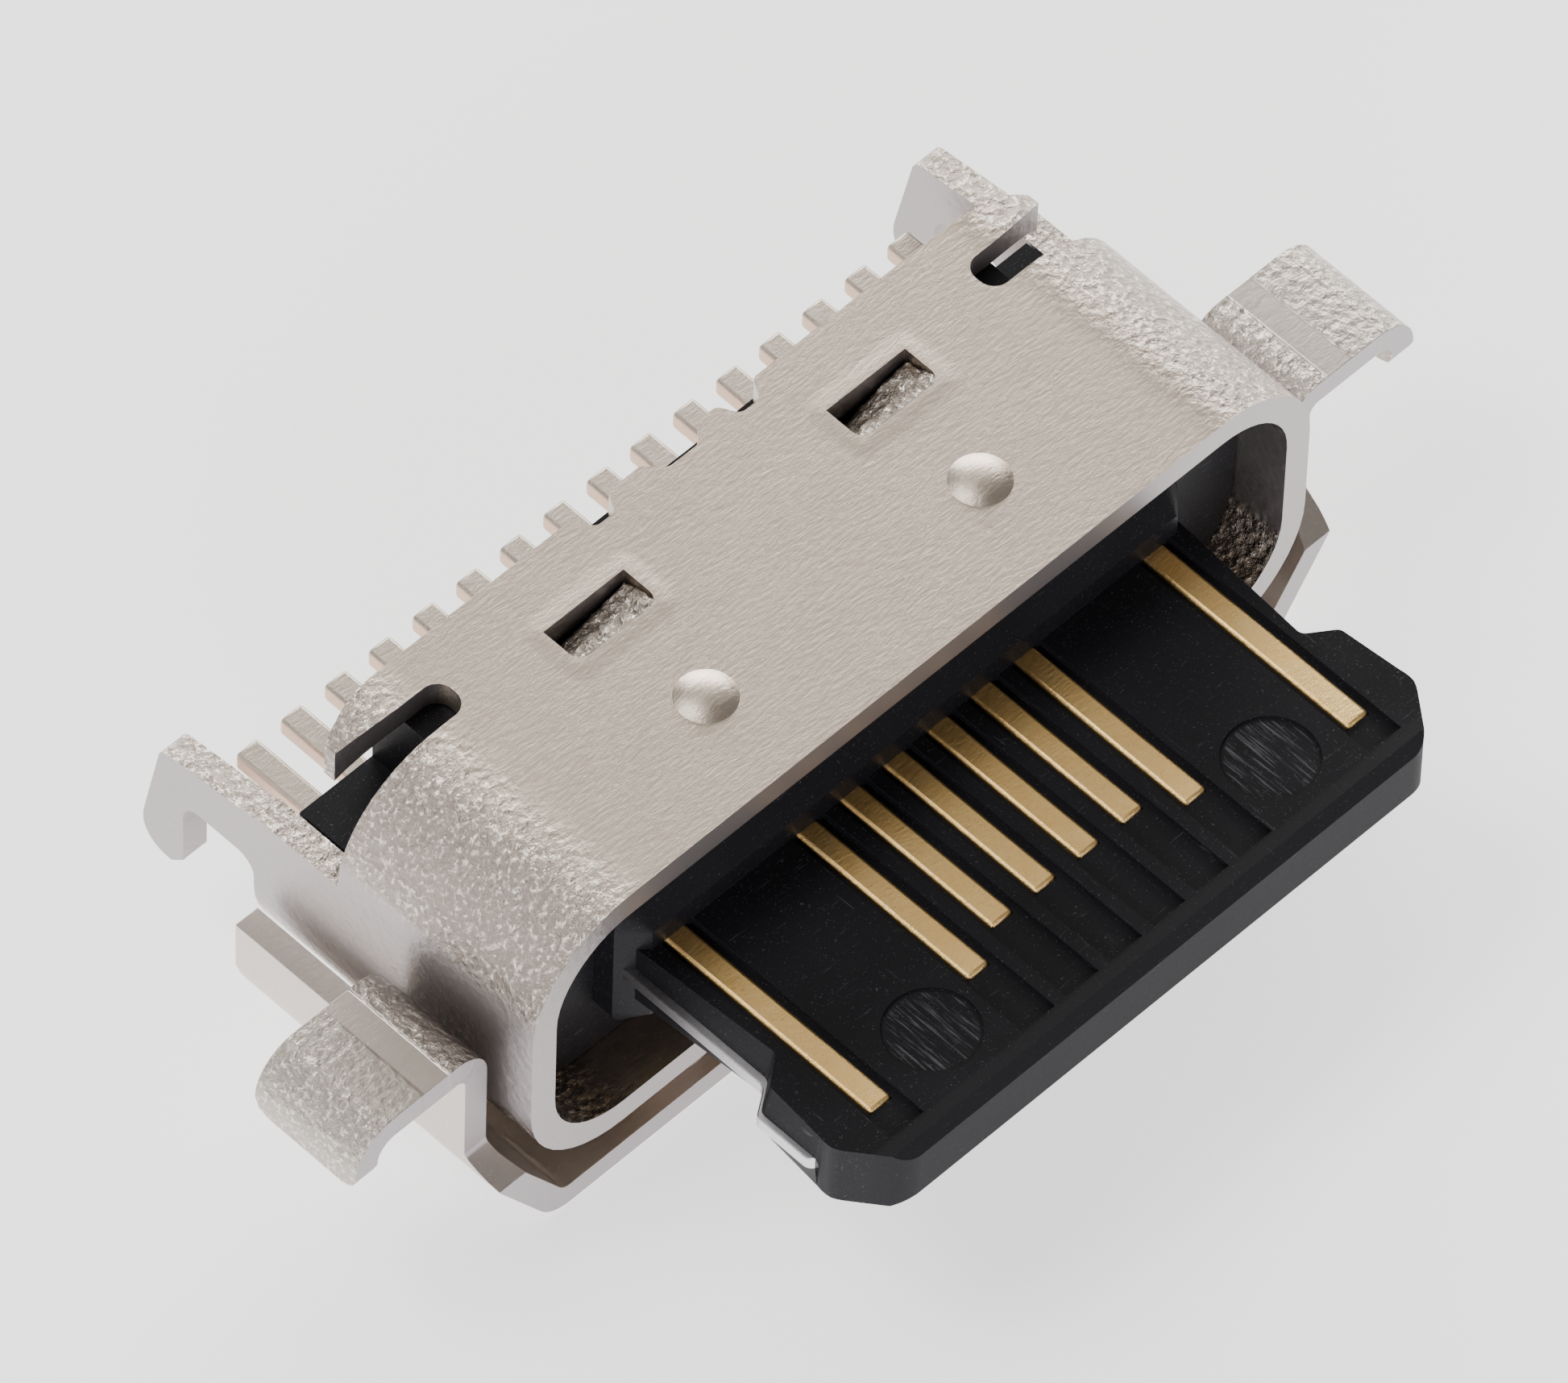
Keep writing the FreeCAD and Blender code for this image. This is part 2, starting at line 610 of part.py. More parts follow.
tailTop = boardLevel + strip
upperProfile = makeProfile("upper_profile", contactFace, tailTop)
lowerProfile = makeProfile("lower_profile", strip - contactFace, tailTop)
upperRow = []
lowerRow = []
for number, (place, front) in enumerate(zip(places, ends)):
    # the two rows meet in one line of tails, turn about
    upperRow.append(makeTerminal(f"upper_contact_{number + 1}", upperProfile, place, front,
                                 2 * number - 7.5))
    lowerRow.append(makeTerminal(f"lower_contact_{number + 1}", lowerProfile, place, front,
                                 2 * number - 6.5))
upperBar = makeInsert("upper_insert", insertThin, insertHigh)
lowerBar = makeInsert("lower_insert", -insertHigh, -insertThin)
upperInsert = subtract("upper_insert", upperBar, upperRow)
lowerInsert = subtract("lower_insert", lowerBar, lowerRow)
housing = subtract("housing", moulding, upperRow + lowerRow + [upperBar, lowerBar, latchPlate])

doc.recompute()

nodes = [shell, bracket, housing, latchPlate, upperInsert, lowerInsert] + upperRow + lowerRow
for item in doc.Objects:
    if "Invalid" in item.State or "Error" in item.State:
        raise RuntimeError(f"{item.Label} did not build: {item.State}")
for node in nodes:
    if node.Shape.isNull() or not node.Shape.isValid() or len(node.Shape.Solids) != 1:
        raise RuntimeError(f"{node.Label} is not one sound solid")

os.makedirs("parts", exist_ok=True)
for node in nodes:
    node.Shape.exportStep(os.path.join("parts", f"{node.Label}.step"))
    box = node.Shape.BoundBox
    print(f"{node.Label}: {node.Shape.Volume:.4f} mm3, x {box.XMin:.2f} to {box.XMax:.2f}, "
          f"y {box.YMin:.2f} to {box.YMax:.2f}, z {box.ZMin:.2f} to {box.ZMax:.2f}")
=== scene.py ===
import math

import bmesh
import bpy
from mathutils import Matrix, Vector
from mathutils.noise import fractal


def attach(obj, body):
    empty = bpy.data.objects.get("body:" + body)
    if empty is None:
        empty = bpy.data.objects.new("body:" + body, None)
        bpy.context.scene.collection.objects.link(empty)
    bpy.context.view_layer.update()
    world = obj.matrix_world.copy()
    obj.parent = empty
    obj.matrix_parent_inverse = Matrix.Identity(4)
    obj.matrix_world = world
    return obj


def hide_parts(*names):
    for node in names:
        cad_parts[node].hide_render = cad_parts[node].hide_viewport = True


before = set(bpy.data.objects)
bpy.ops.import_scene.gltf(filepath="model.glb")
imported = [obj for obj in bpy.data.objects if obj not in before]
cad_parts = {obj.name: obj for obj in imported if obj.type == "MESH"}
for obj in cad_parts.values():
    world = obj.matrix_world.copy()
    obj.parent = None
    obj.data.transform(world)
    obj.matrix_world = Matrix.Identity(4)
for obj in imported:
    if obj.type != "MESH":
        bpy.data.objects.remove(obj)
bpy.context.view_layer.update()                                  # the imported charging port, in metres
mm = 0.001
print("frame loaded:", len(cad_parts), "nodes")


def newGroup(name, inputs, outputs):
    # node group with float inputs (name: default) and named float outputs
    tree = bpy.data.node_groups.new(name, "ShaderNodeTree")
    for label, default in inputs.items():
        socket = tree.interface.new_socket(label, in_out="INPUT", socket_type="NodeSocketFloat")
        socket.default_value = default
    for label in outputs:
        tree.interface.new_socket(label, in_out="OUTPUT", socket_type="NodeSocketFloat")
    return tree, tree.nodes.new("NodeGroupInput"), tree.nodes.new("NodeGroupOutput")


def plug(tree, source, target):
    # joins a socket, or sets a plain value
    if isinstance(source, bpy.types.NodeSocket):
        tree.links.new(source, target)
    else:
        target.default_value = source


def mathNode(tree, operation, first, second=0.0):
    node = tree.nodes.new("ShaderNodeMath")
    node.operation = operation
    plug(tree, first, node.inputs[0])
    plug(tree, second, node.inputs[1])
    return node.outputs[0]


def times(tree, first, second):
    return mathNode(tree, "MULTIPLY", first, second)


def absolute(tree, value):
    return mathNode(tree, "ABSOLUTE", value)


def inverse(tree, mask):
    return mathNode(tree, "SUBTRACT", 1.0, mask)


def distanceOf(tree, gapX, gapY):
    return mathNode(tree, "SQRT", mathNode(tree, "ADD", times(tree, gapX, gapX), times(tree, gapY, gapY)))


def rampBetween(tree, value, low, high):
    # 0 below low, 1 above high, smooth between
    node = tree.nodes.new("ShaderNodeMapRange")
    node.interpolation_type = "SMOOTHSTEP"
    plug(tree, value, node.inputs["Value"])
    plug(tree, low, node.inputs["From Min"])
    plug(tree, high, node.inputs["From Max"])
    return node.outputs["Result"]


def scaled(tree, stretch):
    # object coordinates in millimetres, stretched along each axis
    place = tree.nodes.new("ShaderNodeTexCoord")
    mapping = tree.nodes.new("ShaderNodeMapping")
    mapping.inputs["Scale"].default_value = [value / mm for value in stretch]
    tree.links.new(place.outputs["Object"], mapping.inputs["Vector"])
    return mapping.outputs["Vector"]


def noise(tree, kind, scale=None):
    # kind gives stretch, detail and roughness, and the scale too unless one is passed
    node = tree.nodes.new("ShaderNodeTexNoise")
    tree.links.new(scaled(tree, kind["stretch"]), node.inputs["Vector"])
    plug(tree, kind["scale"] if scale is None else scale, node.inputs["Scale"])
    node.inputs["Detail"].default_value = kind["detail"]
    node.inputs["Roughness"].default_value = kind["rough"]
    return node.outputs["Fac"]


def patches(tree, kind):
    # 1 where the noise is high, 0 elsewhere
    return rampBetween(tree, noise(tree, kind), kind["from"], kind["full"])


def mixColours(tree, factor, first, second):
    node = tree.nodes.new("ShaderNodeMix")
    node.data_type = "RGBA"
    plug(tree, factor, node.inputs[0])
    plug(tree, first if isinstance(first, bpy.types.NodeSocket) else (*first, 1), node.inputs[6])
    plug(tree, second if isinstance(second, bpy.types.NodeSocket) else (*second, 1), node.inputs[7])
    return node.outputs[2]


def tint(tree, mask, share, colour, other):
    # lays a share of the other colour over the masked spots
    return mixColours(tree, times(tree, mask, share), colour, other)


def mixValues(tree, factor, first, second):
    node = tree.nodes.new("ShaderNodeMix")
    plug(tree, factor, node.inputs[0])
    plug(tree, first, node.inputs[2])
    plug(tree, second, node.inputs[3])
    return node.outputs[0]


def axisParts(tree, socket):
    # the outputs "X", "Y" and "Z" of a vector
    node = tree.nodes.new("ShaderNodeSeparateXYZ")
    tree.links.new(socket, node.inputs[0])
    return node.outputs


def placeOf(tree):
    # object coordinates in millimetres
    return axisParts(tree, scaled(tree, everyWay))


def facing(tree):
    # parts of the surface's own direction, for telling cut edges from rolled faces
    geometry = tree.nodes.new("ShaderNodeNewGeometry")
    return axisParts(tree, geometry.outputs["Normal"])


def useGroup(tree, group, **values):
    node = tree.nodes.new("ShaderNodeGroup")
    node.node_tree = group
    for label, value in values.items():
        plug(tree, value, node.inputs[label])
    return node.outputs


def startMaterial(name, **settings):
    material = bpy.data.materials.new(name)
    material.use_nodes = True
    tree = material.node_tree
    shader = tree.nodes["Principled BSDF"]
    for label, value in settings.items():
        shader.inputs[label.replace("_", " ")].default_value = value
    return material, tree, shader


def addBump(tree, shader, height, distance):
    bump = tree.nodes.new("ShaderNodeBump")
    bump.inputs["Distance"].default_value = distance * mm
    tree.links.new(height, bump.inputs["Height"])
    tree.links.new(bump.outputs["Normal"], shader.inputs["Normal"])


everyWay = (1, 1, 1)                               # a texture with no stretch
# noises per millimetre: the streaks lie along the rolling direction
sheetNoise = {"streaks": {"stretch": (1.0, 3.2, 3.2), "detail": 5.0, "rough": 0.7},
              "mottling": {"stretch": everyWay, "detail": 3.0, "rough": 0.55},
              "specks": {"stretch": everyWay, "scale": 24.0, "detail": 2.0, "rough": 0.8,
                         "from": 0.60, "full": 0.72}}
peelNoise = {"stretch": everyWay, "detail": 4.0, "rough": 0.65, "finer": 1.7,
             "cellSmooth": 0.6, "cellShare": 0.8, "from": 0.50, "full": 0.66}
mouldNoise = {"long": {"stretch": (1.2, 16.0, 6.0), "scale": 2.2, "detail": 3.0, "rough": 0.7,
                       "from": 0.64, "full": 0.72},
              "cross": {"stretch": (15.0, 1.0, 5.0), "scale": 1.9, "detail": 3.0, "rough": 0.7,
                        "from": 0.66, "full": 0.74},
              "dust": {"stretch": everyWay, "scale": 44.0, "detail": 2.0, "rough": 0.75,
                       "bar": 0.74, "share": 0.2, "soft": 0.05},
              "brushed": {"stretch": (26.0, 1.2, 8.0), "scale": 1.6, "detail": 4.0, "rough": 0.7,
                          "from": 0.50, "full": 0.66},
              "sheen": {"stretch": everyWay, "scale": 1.1, "detail": 3.0, "rough": 0.5}}


def makeSheetGrain():
    # fine grain of cold rolled sheet: short streaks, mottling and bright specks
    tree, start, end = newGroup("sheetGrain", {"Fineness": 9.0, "Mottle": 1.3},
                                ("Streaks", "Mottling", "Specks"))
    streaks = noise(tree, sheetNoise["streaks"], start.outputs["Fineness"])
    mottling = noise(tree, sheetNoise["mottling"], start.outputs["Mottle"])
    tree.links.new(streaks, end.inputs["Streaks"])
    tree.links.new(mottling, end.inputs["Mottling"])
    tree.links.new(patches(tree, sheetNoise["specks"]), end.inputs["Specks"])
    return tree


def makeOrangePeel():
    # coarse dimpled skin of sheet that was stretched round a bend, and a mask where glints are painted into
    # the colour
    tree, start, end = newGroup("orangePeel", {"Coarseness": 7.0}, ("Height", "Glint"))
    cells = tree.nodes.new("ShaderNodeTexVoronoi")
    cells.feature = "SMOOTH_F1"
    tree.links.new(scaled(tree, everyWay), cells.inputs["Vector"])
    tree.links.new(start.outputs["Coarseness"], cells.inputs["Scale"])
    cells.inputs["Smoothness"].default_value = peelNoise["cellSmooth"]
    rough = noise(tree, peelNoise, times(tree, start.outputs["Coarseness"], peelNoise["finer"]))
    cellHeight = times(tree, cells.outputs["Distance"], peelNoise["cellShare"])
    tree.links.new(mathNode(tree, "ADD", cellHeight, rough), end.inputs["Height"])
    # Glint marks where bright painted glints go, from the same noise as the skin's bumps
    tree.links.new(rampBetween(tree, rough, peelNoise["from"], peelNoise["full"]), end.inputs["Glint"])
    return tree


def makeMouldMarks():
    # hairline scratches, dust, brushed lines and a faint sheen that vary over a moulded face
    tree, start, end = newGroup("mouldMarks", {"Dust": 0.5}, ("Scratches", "Specks", "Sheen", "Brushed"))
    long = patches(tree, mouldNoise["long"])
    cross = patches(tree, mouldNoise["cross"])
    dust = mouldNoise["dust"]
    bar = mathNode(tree, "SUBTRACT", dust["bar"], times(tree, start.outputs["Dust"], dust["share"]))
    specks = rampBetween(tree, noise(tree, dust), bar, mathNode(tree, "ADD", bar, dust["soft"]))
    tree.links.new(patches(tree, mouldNoise["brushed"]), end.inputs["Brushed"])
    tree.links.new(mathNode(tree, "MAXIMUM", long, cross), end.inputs["Scratches"])
    tree.links.new(specks, end.inputs["Specks"])
    tree.links.new(noise(tree, mouldNoise["sheen"]), end.inputs["Sheen"])
    return tree


sheetGrain = makeSheetGrain()
orangePeel = makeOrangePeel()
mouldMarks = makeMouldMarks()

# where the shell's texture changes: place in millimetres, facing from 0 to 1
shellZones = {"roundFrom": 3.15, "roundFull": 3.75, "armFrom": 4.10, "armFull": 4.18,
              "flankFrom": 0.95, "flankFull": 0.995}
# where the bracket's texture changes along a wing, in millimetres
wingZones = {"rootEnd": 5.03, "bandEnd": 5.32, "soft": 0.04, "faint": 0.45,
             "footFrom": 5.62, "footFull": 5.80, "levelFrom": 0.0, "levelFull": 0.12}
cutFacing = {"from": 0.6, "full": 0.85}            # how far a cut edge faces forwards or backwards
# the two windows lanced in the shell's top plate, in millimetres
windows = {"middle": 1.615, "half": 0.45, "back": 2.35, "halfDeep": 0.21, "rim": 0.20,
           "levelFrom": 1.4, "levelFull": 1.5}


def shellBends(tree, place):
    # the rounded ends of the shell, all round the outside, where the peel relief and the painted glints and
    # shade go
    return rampBetween(tree, absolute(tree, place["X"]), shellZones["roundFrom"], shellZones["roundFull"])


def bracketBends(tree, place):
    # stretched metal with its peel relief and painted glints and shade at both bends of each wing, fainter
    # between them, with one flat band left
    across = absolute(tree, place["X"])
    soft = wingZones["soft"]
    root = inverse(tree, rampBetween(tree, across, wingZones["rootEnd"], wingZones["rootEnd"] + soft))
    middle = rampBetween(tree, across, wingZones["bandEnd"], wingZones["bandEnd"] + soft)
    middle = times(tree, middle, wingZones["faint"])
    foot = rampBetween(tree, across, wingZones["footFrom"], wingZones["footFull"])
    onTop = rampBetween(tree, place["Z"], wingZones["levelFrom"], wingZones["levelFull"])
    wing = times(tree, onTop, mathNode(tree, "ADD", root, middle))
    return mathNode(tree, "MAXIMUM", wing, foot)


def armSides(tree, place, normal):
    # the flat sides of the shell's arms
    flank = rampBetween(tree, absolute(tree, normal["X"]), shellZones["flankFrom"], shellZones["flankFull"])
    onArm = rampBetween(tree, absolute(tree, place["X"]), shellZones["armFrom"], shellZones["armFull"])
    return times(tree, flank, onArm)


def nearWindows(tree, place):
    # 1 at the rim of the windows, falling away round them, on the top plate alone
    across = mathNode(tree, "SUBTRACT", absolute(tree, place["X"]), windows["middle"])
    across = mathNode(tree, "SUBTRACT", absolute(tree, across), windows["half"])
    along = mathNode(tree, "SUBTRACT", place["Y"], windows["back"] - windows["halfDeep"])
    along = mathNode(tree, "SUBTRACT", absolute(tree, along), windows["halfDeep"])
    gapX = mathNode(tree, "MAXIMUM", across, 0.0)
    gapY = mathNode(tree, "MAXIMUM", along, 0.0)
    away = rampBetween(tree, distanceOf(tree, gapX, gapY), 0.0, windows["rim"])
    onTop = rampBetween(tree, place["Z"], windows["levelFrom"], windows["levelFull"])
    return times(tree, inverse(tree, away), onTop)


# linear colours, shares, roughness, texture scales, and depths as shares of the bump in millimetres
shellLook = {"rolled": (0.58, 0.495, 0.415), "rolledDark": (0.47, 0.395, 0.325),
             "streak": (0.74, 0.65, 0.56), "streakShare": 0.5,
             "speck": (0.86, 0.79, 0.71), "speckShare": 0.45,
             # the two bend colours are painted shade and painted glints
             "bendPaintedShade": (0.38, 0.33, 0.29), "bendPaintedGlint": (0.80, 0.73, 0.65), "cut": (0.40, 0.37, 0.37),
             "smooth": 0.26, "dull": 0.44, "bendRough": 0.24, "cutRough": 0.45,
             "grain": 9.0, "peel": 11.0, "grainDepth": 0.06, "peelDepth": 0.26, "rimDepth": 0.09,
             "cutLoss": 0.75, "bump": 0.1, "bends": shellBends, "cutSides": armSides, "rims": nearWindows}
bracketLook = {"rolled": (0.60, 0.54, 0.485), "rolledDark": (0.50, 0.445, 0.395),
               "streak": (0.76, 0.71, 0.67), "streakShare": 0.5,
               "speck": (0.86, 0.81, 0.77), "speckShare": 0.45,
               # the two bend colours are painted shade and painted glints
               "bendPaintedShade": (0.42, 0.38, 0.34), "bendPaintedGlint": (0.80, 0.74, 0.67), "cut": (0.40, 0.37, 0.38),
               "smooth": 0.30, "dull": 0.46, "bendRough": 0.24, "cutRough": 0.48,
               "grain": 8.0, "peel": 11.0, "grainDepth": 0.05, "peelDepth": 0.24,
               "cutLoss": 0.75, "bump": 0.1, "bends": bracketBends}


def makeSteel(name, look):
    # rolled faces, stretched bends with painted glints and painted shade, and flat cut edges of one pressed
    # sheet
    material, tree, shader = startMaterial(name, Metallic=1.0)
    place = placeOf(tree)
    normal = facing(tree)
    grain = useGroup(tree, sheetGrain, Fineness=look["grain"])
    peel = useGroup(tree, orangePeel, Coarseness=look["peel"])
    bend = look["bends"](tree, place)
    cut = rampBetween(tree, absolute(tree, normal["Y"]), cutFacing["from"], cutFacing["full"])
    if "cutSides" in look:
        cut = mathNode(tree, "MAXIMUM", cut, look["cutSides"](tree, place, normal))
    colour = mixColours(tree, grain["Mottling"], look["rolled"], look["rolledDark"])
    colour = tint(tree, grain["Streaks"], look["streakShare"], colour, look["streak"])
    colour = tint(tree, grain["Specks"], look["speckShare"], colour, look["speck"])
    # the bends get painted light: bright painted glints and darker painted shade, spread by the peel's
    # noise over the real peel relief
    stretchedWithGlints = mixColours(tree, peel["Glint"], look["bendPaintedShade"], look["bendPaintedGlint"])
    colour = mixColours(tree, bend, colour, stretchedWithGlints)
    colour = mixColours(tree, cut, colour, look["cut"])
    tree.links.new(colour, shader.inputs["Base Color"])
    roughness = mixValues(tree, grain["Streaks"], look["smooth"], look["dull"])
    roughness = mixValues(tree, bend, roughness, look["bendRough"])
    tree.links.new(mixValues(tree, cut, roughness, look["cutRough"]), shader.inputs["Roughness"])
    fine = times(tree, grain["Streaks"], look["grainDepth"])
    coarse = times(tree, peel["Height"], times(tree, bend, look["peelDepth"]))
    relief = mathNode(tree, "ADD", fine, coarse)
    if "rims" in look:
        rim = times(tree, look["rims"](tree, place), look["rimDepth"])
        relief = mathNode(tree, "ADD", relief, rim)
    relief = times(tree, relief, inverse(tree, times(tree, cut, look["cutLoss"])))
    addBump(tree, shader, relief, look["bump"])
    return material


# round ejector marks near the corners of the tongue, in millimetres
marksAt = {"across": 1.95, "along": -2.03, "radius": 0.40, "soft": 0.03}
mouldingLook = {"dark": (0.006, 0.006, 0.007), "pale": (0.014, 0.014, 0.017), "dust": 0.55,
                "scratch": (0.09, 0.09, 0.10), "scratchShare": 0.35,
                "speck": (0.11, 0.11, 0.12), "speckShare": 0.5,
                "disc": (0.10, 0.10, 0.11), "discShare": 0.8,
                "lip": (0.020, 0.020, 0.022), "lipShare": 0.5, "lipEnd": -2.60, "lipOver": -2.55,
                "smooth": 0.34, "dull": 0.50, "lipRough": 0.58,
                "scratchDepth": -0.05, "speckDepth": 0.08, "bump": 0.08}


def markDiscs(tree, place):
    gapX = mathNode(tree, "SUBTRACT", absolute(tree, place["X"]), marksAt["across"])
    gapY = mathNode(tree, "SUBTRACT", place["Y"], marksAt["along"])
    radius = marksAt["radius"]
    return inverse(tree, rampBetween(tree, distanceOf(tree, gapX, gapY), radius - marksAt["soft"], radius))


def makeMoulding():
    look = mouldingLook
    material, tree, shader = startMaterial("blackMoulding", Specular_IOR_Level=0.1)
    marks = useGroup(tree, mouldMarks, Dust=look["dust"])
    place = placeOf(tree)
    colour = mixColours(tree, marks["Sheen"], look["dark"], look["pale"])
    colour = tint(tree, marks["Scratches"], look["scratchShare"], colour, look["scratch"])
    colour = tint(tree, marks["Specks"], look["speckShare"], colour, look["speck"])
    brushed = times(tree, marks["Brushed"], look["discShare"])
    colour = tint(tree, markDiscs(tree, place), brushed, colour, look["disc"])
    lip = inverse(tree, rampBetween(tree, place["Y"], look["lipEnd"], look["lipOver"]))
    colour = tint(tree, lip, look["lipShare"], colour, look["lip"])
    tree.links.new(colour, shader.inputs["Base Color"])
    roughness = mixValues(tree, marks["Sheen"], look["smooth"], look["dull"])
    tree.links.new(mixValues(tree, lip, roughness, look["lipRough"]), shader.inputs["Roughness"])
    scratches = times(tree, marks["Scratches"], look["scratchDepth"])
    specks = times(tree, marks["Specks"], look["speckDepth"])
    addBump(tree, shader, mathNode(tree, "ADD", scratches, specks), look["bump"])
    return material


platingLook = {"fineness": 11.0, "mottle": 3.0, "gold": (1.0, 0.74, 0.34), "goldDark": (0.96, 0.60, 0.20),
               "speck": (1.0, 0.86, 0.52), "speckShare": 0.5,
               "worn": (0.62, 0.38, 0.13), "wornFrom": 0.62, "wornFull": 0.74,
               "tin": (0.56, 0.49, 0.42), "tinDark": (0.42, 0.37, 0.32),
               "side": (0.66, 0.46, 0.34), "sideFrom": 0.7, "sideFull": 0.95,
               "tailFrom": 2.5, "tailFull": 2.7, "smooth": 0.30, "dull": 0.46, "depth": 0.06, "bump": 0.1}


def makePlating():
    # gold on the contacts, and a paler tin on the tails that stand out behind
    look = platingLook
    material, tree, shader = startMaterial("terminalPlating", Metallic=1.0)
    grain = useGroup(tree, sheetGrain, Fineness=look["fineness"], Mottle=look["mottle"])
    gold = mixColours(tree, grain["Mottling"], look["gold"], look["goldDark"])
    gold = tint(tree, grain["Specks"], look["speckShare"], gold, look["speck"])
    worn = rampBetween(tree, grain["Streaks"], look["wornFrom"], look["wornFull"])
    gold = mixColours(tree, worn, gold, look["worn"])
    side = rampBetween(tree, absolute(tree, facing(tree)["X"]), look["sideFrom"], look["sideFull"])
    tin = mixColours(tree, grain["Streaks"], look["tin"], look["tinDark"])
    tin = mixColours(tree, side, tin, look["side"])
    tail = rampBetween(tree, placeOf(tree)["Y"], look["tailFrom"], look["tailFull"])
    tree.links.new(mixColours(tree, tail, gold, tin), shader.inputs["Base Color"])
    roughness = mixValues(tree, grain["Streaks"], look["smooth"], look["dull"])
    tree.links.new(roughness, shader.inputs["Roughness"])
    addBump(tree, shader, times(tree, grain["Streaks"], look["depth"]), look["bump"])
    return material


latchLook = {"fineness": 12.0, "pale": (0.82, 0.82, 0.84), "dark": (0.62, 0.62, 0.66),
             "smooth": 0.22, "dull": 0.38, "depth": 0.05, "bump": 0.1}


def makeLatchSteel():
    look = latchLook
    material, tree, shader = startMaterial("latchSteel", Metallic=1.0)
    grain = useGroup(tree, sheetGrain, Fineness=look["fineness"])
    colour = mixColours(tree, grain["Mottling"], look["pale"], look["dark"])
    tree.links.new(colour, shader.inputs["Base Color"])
    roughness = mixValues(tree, grain["Streaks"], look["smooth"], look["dull"])
    tree.links.new(roughness, shader.inputs["Roughness"])
    addBump(tree, shader, times(tree, grain["Streaks"], look["depth"]), look["bump"])
    return material


# the tabs' dark colour is painted shade in the hollows, the bright one painted highlights on the crests
tornLook = {"peel": 9.0, "hollow": (0.30, 0.26, 0.22), "crestPaintedHighlight": (0.90, 0.85, 0.78),
            "hollowRough": 0.42, "crestRough": 0.18, "depth": 0.5, "bump": 0.1}


def makeTornSteel():
    # torn and squeezed metal of the window tabs: painted highlights on the crests, painted shade in the
    # hollows
    look = tornLook
    material, tree, shader = startMaterial("tornSteel", Metallic=1.0)
    peel = useGroup(tree, orangePeel, Coarseness=look["peel"])
    # painted shade in the hollows and painted highlights on the crests, spread by the peel's glint mask
    colour = mixColours(tree, peel["Glint"], look["hollow"], look["crestPaintedHighlight"])
    tree.links.new(colour, shader.inputs["Base Color"])
    roughness = mixValues(tree, peel["Glint"], look["hollowRough"], look["crestRough"])
    tree.links.new(roughness, shader.inputs["Roughness"])
    addBump(tree, shader, times(tree, peel["Height"], look["depth"]), look["bump"])
    return material


shellSteel = makeSteel("shellSteel", shellLook)
tornSteel = makeTornSteel()
bracketSteel = makeSteel("bracketSteel", bracketLook)
blackMoulding = makeMoulding()
plating = makePlating()
latchSteel = makeLatchSteel()
print("materials made")


def smoothByAngle(obj, degrees):
    bpy.context.view_layer.objects.active = obj
    obj.select_set(True)
    bpy.ops.object.shade_smooth_by_angle(angle=math.radians(degrees))
    obj.select_set(False)


def markSharp(piece, degrees):
    # keeps each face's own smooth or flat setting and only splits the shade at its corners
    piece.data.set_sharp_from_angle(angle=math.radians(degrees))


flatWeight = 90                                    # how far large faces win over small ones


def weigh(piece):
    # large flat faces keep their own shade next to small bends
    weighted = piece.modifiers.new("flatFacesStayFlat", "WEIGHTED_NORMAL")
    weighted.keep_sharp = True
    weighted.weight = flatWeight


# strips left of the slots at the back corners, curled and pinched to a rounded tip
finger = {"back": 3.00, "front": 2.62, "root": 3.35, "tip": 4.03, "pinch": 0.13,
          "slack": 0.02, "above": 0.5}


def pinchFingers(work):
    middle = (finger["back"] + finger["front"]) / 2
    foremost = finger["front"] - finger["slack"]
    for corner in work.verts:
        across, along, up = (value / mm for value in corner.co)
        if abs(across) < finger["root"] or along < foremost or up < finger["above"]:
            continue
        share = min(1, (abs(across) - finger["root"]) / (finger["tip"] - finger["root"]))
        corner.co.y = (along - math.copysign(finger["pinch"] * share ** 2, along - middle)) * mm


# the tongue's sides lean in above and below the latch plate
draft = {"behind": 0.05, "outside": 3.0, "face": 0.34, "lean": 0.09, "tip": -2.3, "fade": 0.4}


def leanTongueSides(work):
    for corner in work.verts:
        across, along, up = (value / mm for value in corner.co)
        if along < draft["behind"] and abs(across) > draft["outside"] and abs(up) > draft["face"]:
            share = max(0, min(1, (along - draft["tip"]) / draft["fade"]))
            corner.co.x -= math.copysign(draft["lean"] * share * mm, across)


# the two raised dimples in the top plate, in millimetres
dimples = {"across": 1.57, "along": 0.98, "radius": 0.275, "level": 1.57, "high": 0.078, "rings": 6,
           "slack": 0.01, "levelSlack": 0.001, "roundness": 0.85}


